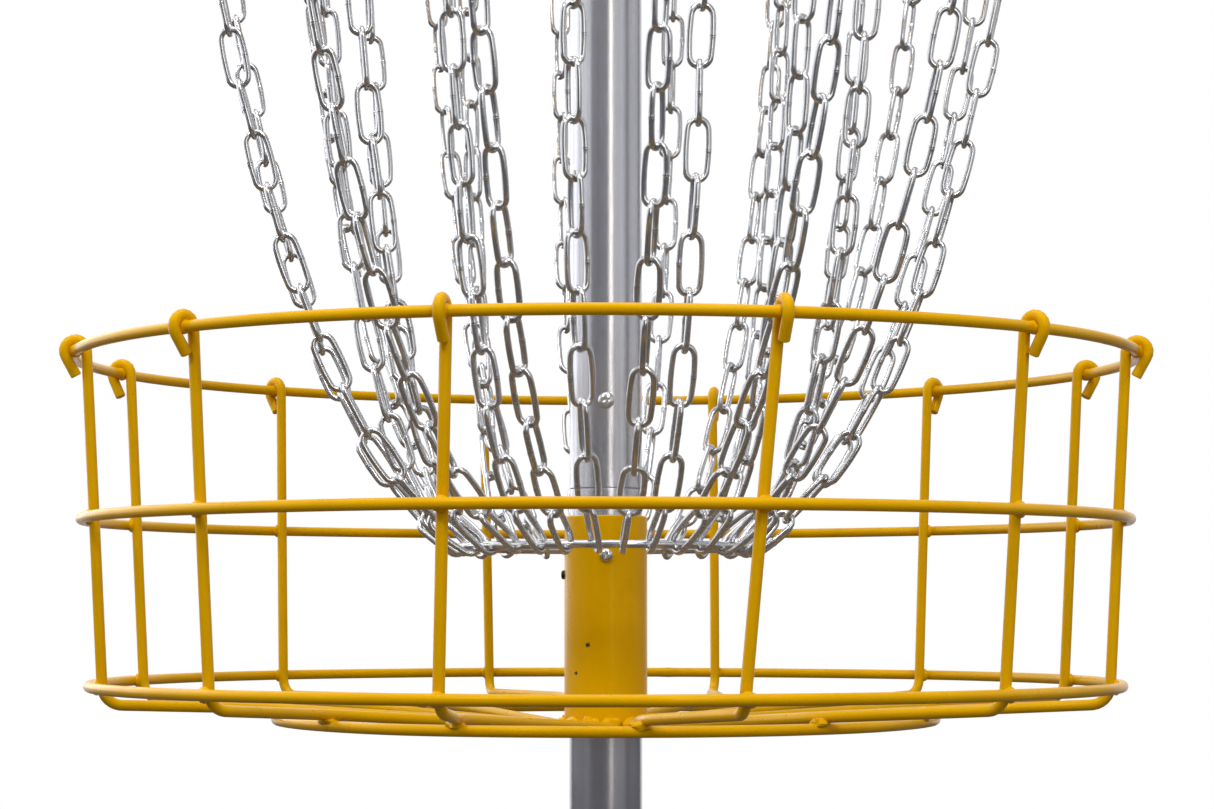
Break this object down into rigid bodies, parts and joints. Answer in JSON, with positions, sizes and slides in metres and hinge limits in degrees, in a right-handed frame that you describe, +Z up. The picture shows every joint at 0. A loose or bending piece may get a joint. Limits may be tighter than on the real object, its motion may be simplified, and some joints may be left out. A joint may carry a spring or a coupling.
{
  "type": "disc golf basket",
  "caption": "Freestanding disc golf target: hooked wire basket on a sleeve, chain strands gathered on a loose ring, hanger rack with plain band, two-part pole and hoop base.",
  "frame": {"origin": "on the floor, under the pole's axis", "axes": "+Z up the pole; -Y is the side of the sleeve's front screw, which faces the viewer; +X to that viewer's right"},
  "size_m": [0.6522, 0.6522, 1.415],
  "materials": {
    "yellow_powder_coat": "glossy yellow powder coat with slight orange peel",
    "zinc_chain": "bright zinc-plated steel chain",
    "galvanised_tube": "satin galvanised tube with fine lengthwise draw lines",
    "zinc_fastener": "bright zinc-plated screw",
    "dark_fastener": "black oxide screw",
    "rubber": "matt black moulded rubber"
  },
  "bodies": {
    "stand": {"base_hoop": "galvanised_tube", "base_spider": "galvanised_tube", "socket_bolt": "zinc_fastener", "foot_1": "rubber", "foot_2": "rubber", "foot_3": "rubber", "lower_pole": "galvanised_tube", "basket_sleeve": "yellow_powder_coat", "sleeve_front_bolt": "zinc_fastener", "sleeve_side_bolt": "dark_fastener", "rim_ring": "yellow_powder_coat", "middle_ring": "yellow_powder_coat", "bottom_ring": "yellow_powder_coat", "floor_ring": "yellow_powder_coat", "basket_wire_01": "yellow_powder_coat", "basket_wire_02": "yellow_powder_coat", "basket_wire_03": "yellow_powder_coat", "basket_wire_04": "yellow_powder_coat", "basket_wire_05": "yellow_powder_coat", "basket_wire_06": "yellow_powder_coat", "basket_wire_07": "yellow_powder_coat", "basket_wire_08": "yellow_powder_coat", "basket_wire_09": "yellow_powder_coat", "basket_wire_10": "yellow_powder_coat", "basket_wire_11": "yellow_powder_coat", "basket_wire_12": "yellow_powder_coat"},
    "upper_assembly": {"upper_pole": "galvanised_tube", "pole_coupling": "galvanised_tube", "pole_screw": "zinc_fastener", "hanger_spider": "yellow_powder_coat", "outer_hanger_ring": "yellow_powder_coat", "inner_hanger_ring": "yellow_powder_coat", "top_band": "yellow_powder_coat"},
    "chain_ring_body": {"chain_ring": "zinc_chain"},
    "inner_strand_01": {"inner_chain_01": "zinc_chain"},
    "inner_strand_02": {"inner_chain_02": "zinc_chain"},
    "inner_strand_03": {"inner_chain_03": "zinc_chain"},
    "inner_strand_04": {"inner_chain_04": "zinc_chain"},
    "inner_strand_05": {"inner_chain_05": "zinc_chain"},
    "inner_strand_06": {"inner_chain_06": "zinc_chain"},
    "inner_strand_07": {"inner_chain_07": "zinc_chain"},
    "inner_strand_08": {"inner_chain_08": "zinc_chain"},
    "inner_strand_09": {"inner_chain_09": "zinc_chain"},
    "inner_strand_10": {"inner_chain_10": "zinc_chain"},
    "inner_strand_11": {"inner_chain_11": "zinc_chain"},
    "inner_strand_12": {"inner_chain_12": "zinc_chain"},
    "outer_strand_01": {"outer_chain_01": "zinc_chain"},
    "outer_strand_02": {"outer_chain_02": "zinc_chain"},
    "outer_strand_03": {"outer_chain_03": "zinc_chain"},
    "outer_strand_04": {"outer_chain_04": "zinc_chain"},
    "outer_strand_05": {"outer_chain_05": "zinc_chain"},
    "outer_strand_06": {"outer_chain_06": "zinc_chain"},
    "outer_strand_07": {"outer_chain_07": "zinc_chain"},
    "outer_strand_08": {"outer_chain_08": "zinc_chain"},
    "outer_strand_09": {"outer_chain_09": "zinc_chain"},
    "outer_strand_10": {"outer_chain_10": "zinc_chain"},
    "outer_strand_11": {"outer_chain_11": "zinc_chain"},
    "outer_strand_12": {"outer_chain_12": "zinc_chain"},
    "outer_strand_13": {"outer_chain_13": "zinc_chain"},
    "outer_strand_14": {"outer_chain_14": "zinc_chain"}
  },
  "joints": [
    {"name": "upper_assembly_lift", "type": "slide", "parent": "stand", "child": "upper_assembly", "axis": [0, 0, 1], "range_m": [0, 0.075]},
    {"name": "chain_ring_lift", "type": "slide", "parent": "upper_assembly", "child": "chain_ring_body", "axis": [0, 0, 1], "range_m": [0, 0.008]},
    {"name": "inner_strand_01_swing", "type": "hinge", "parent": "upper_assembly", "child": "inner_strand_01", "pos_m": [-0.0975, 0.16887, 1.325], "axis": [-0.0587, 0.163, 0.9849], "range_deg": [-20, 20]},
    {"name": "inner_strand_02_swing", "type": "hinge", "parent": "upper_assembly", "child": "inner_strand_02", "pos_m": [-0.16715, 0.10043, 1.325], "axis": [-0.1278, 0.1223, 0.9842], "range_deg": [-20, 20]},
    {"name": "inner_strand_03_swing", "type": "hinge", "parent": "upper_assembly", "child": "inner_strand_03", "pos_m": [-0.19488, 0.00681, 1.325], "axis": [-0.1714, 0.0465, 0.9841], "range_deg": [-20, 20]},
    {"name": "inner_strand_04_swing", "type": "hinge", "parent": "upper_assembly", "child": "inner_strand_04", "pos_m": [-0.16537, -0.10333, 1.325], "axis": [-0.1548, -0.071, 0.9854], "range_deg": [-20, 20]},
    {"name": "inner_strand_05_swing", "type": "hinge", "parent": "upper_assembly", "child": "inner_strand_05", "pos_m": [-0.10333, -0.16537, 1.325], "axis": [-0.1021, -0.1345, 0.9856], "range_deg": [-20, 20]},
    {"name": "inner_strand_06_swing", "type": "hinge", "parent": "upper_assembly", "child": "inner_strand_06", "pos_m": [-0.02376, -0.19355, 1.325], "axis": [-0.0266, -0.1655, 0.9859], "range_deg": [-20, 20]},
    {"name": "inner_strand_07_swing", "type": "hinge", "parent": "upper_assembly", "child": "inner_strand_07", "pos_m": [0.06026, -0.18546, 1.325], "axis": [0.0556, -0.158, 0.9859], "range_deg": [-20, 20]},
    {"name": "inner_strand_08_swing", "type": "hinge", "parent": "upper_assembly", "child": "inner_strand_08", "pos_m": [0.12793, -0.14717, 1.325], "axis": [0.1151, -0.1219, 0.9858], "range_deg": [-20, 20]},
    {"name": "inner_strand_09_swing", "type": "hinge", "parent": "upper_assembly", "child": "inner_strand_09", "pos_m": [0.17217, -0.09155, 1.325], "axis": [0.1472, -0.0797, 0.9859], "range_deg": [-20, 20]},
    {"name": "inner_strand_10_swing", "type": "hinge", "parent": "upper_assembly", "child": "inner_strand_10", "pos_m": [0.1808, 0.07305, 1.325], "axis": [0.1495, 0.0796, 0.9856], "range_deg": [-20, 20]},
    {"name": "inner_strand_11_swing", "type": "hinge", "parent": "upper_assembly", "child": "inner_strand_11", "pos_m": [0.13048, 0.14491, 1.325], "axis": [0.1099, 0.1263, 0.9859], "range_deg": [-20, 20]},
    {"name": "inner_strand_12_swing", "type": "hinge", "parent": "upper_assembly", "child": "inner_strand_12", "pos_m": [0.05375, 0.18745, 1.325], "axis": [0.0629, 0.1571, 0.9856], "range_deg": [-20, 20]},
    {"name": "outer_strand_01_swing", "type": "hinge", "parent": "upper_assembly", "child": "outer_strand_01", "pos_m": [-0.03485, 0.28387, 1.325], "axis": [-0.034, 0.3002, 0.9533], "range_deg": [-20, 20]},
    {"name": "outer_strand_02_swing", "type": "hinge", "parent": "upper_assembly", "child": "outer_strand_02", "pos_m": [-0.13427, 0.25252, 1.325], "axis": [-0.1474, 0.2639, 0.9532], "range_deg": [-20, 20]},
    {"name": "outer_strand_03_swing", "type": "hinge", "parent": "upper_assembly", "child": "outer_strand_03", "pos_m": [-0.22537, 0.17608, 1.325], "axis": [-0.2285, 0.1996, 0.9529], "range_deg": [-20, 20]},
    {"name": "outer_strand_04_swing", "type": "hinge", "parent": "upper_assembly", "child": "outer_strand_04", "pos_m": [-0.27867, 0.06434, 1.325], "axis": [-0.2903, 0.0991, 0.9518], "range_deg": [-20, 20]},
    {"name": "outer_strand_05_swing", "type": "hinge", "parent": "upper_assembly", "child": "outer_strand_05", "pos_m": [-0.2775, -0.06919, 1.325], "axis": [-0.3047, -0.0414, 0.9516], "range_deg": [-20, 20]},
    {"name": "outer_strand_06_swing", "type": "hinge", "parent": "upper_assembly", "child": "outer_strand_06", "pos_m": [-0.20573, -0.19867, 1.325], "axis": [-0.233, -0.1956, 0.9526], "range_deg": [-20, 20]},
    {"name": "outer_strand_07_swing", "type": "hinge", "parent": "upper_assembly", "child": "outer_strand_07", "pos_m": [-0.08838, -0.272, 1.325], "axis": [-0.1003, -0.2852, 0.9532], "range_deg": [-20, 20]},
    {"name": "outer_strand_08_swing", "type": "hinge", "parent": "upper_assembly", "child": "outer_strand_08", "pos_m": [0.03485, -0.28387, 1.325], "axis": [0.0394, -0.2995, 0.9533], "range_deg": [-20, 20]},
    {"name": "outer_strand_09_swing", "type": "hinge", "parent": "upper_assembly", "child": "outer_strand_09", "pos_m": [0.15577, -0.23986, 1.325], "axis": [0.1768, -0.2461, 0.953], "range_deg": [-20, 20]},
    {"name": "outer_strand_10_swing", "type": "hinge", "parent": "upper_assembly", "child": "outer_strand_10", "pos_m": [0.24254, -0.15156, 1.325], "axis": [0.2674, -0.1444, 0.9527], "range_deg": [-20, 20]},
    {"name": "outer_strand_11_swing", "type": "hinge", "parent": "upper_assembly", "child": "outer_strand_11", "pos_m": [0.28322, -0.0398, 1.325], "axis": [0.3019, -0.0273, 0.9529], "range_deg": [-20, 20]},
    {"name": "outer_strand_12_swing", "type": "hinge", "parent": "upper_assembly", "child": "outer_strand_12", "pos_m": [0.2775, 0.06919, 1.325], "axis": [0.2885, 0.1066, 0.9515], "range_deg": [-20, 20]},
    {"name": "outer_strand_13_swing", "type": "hinge", "parent": "upper_assembly", "child": "outer_strand_13", "pos_m": [0.2371, 0.15993, 1.325], "axis": [0.246, 0.176, 0.9532], "range_deg": [-20, 20]},
    {"name": "outer_strand_14_swing", "type": "hinge", "parent": "upper_assembly", "child": "outer_strand_14", "pos_m": [0.13866, 0.25014, 1.325], "axis": [0.1523, 0.2611, 0.9532], "range_deg": [-20, 20]}
  ]
}
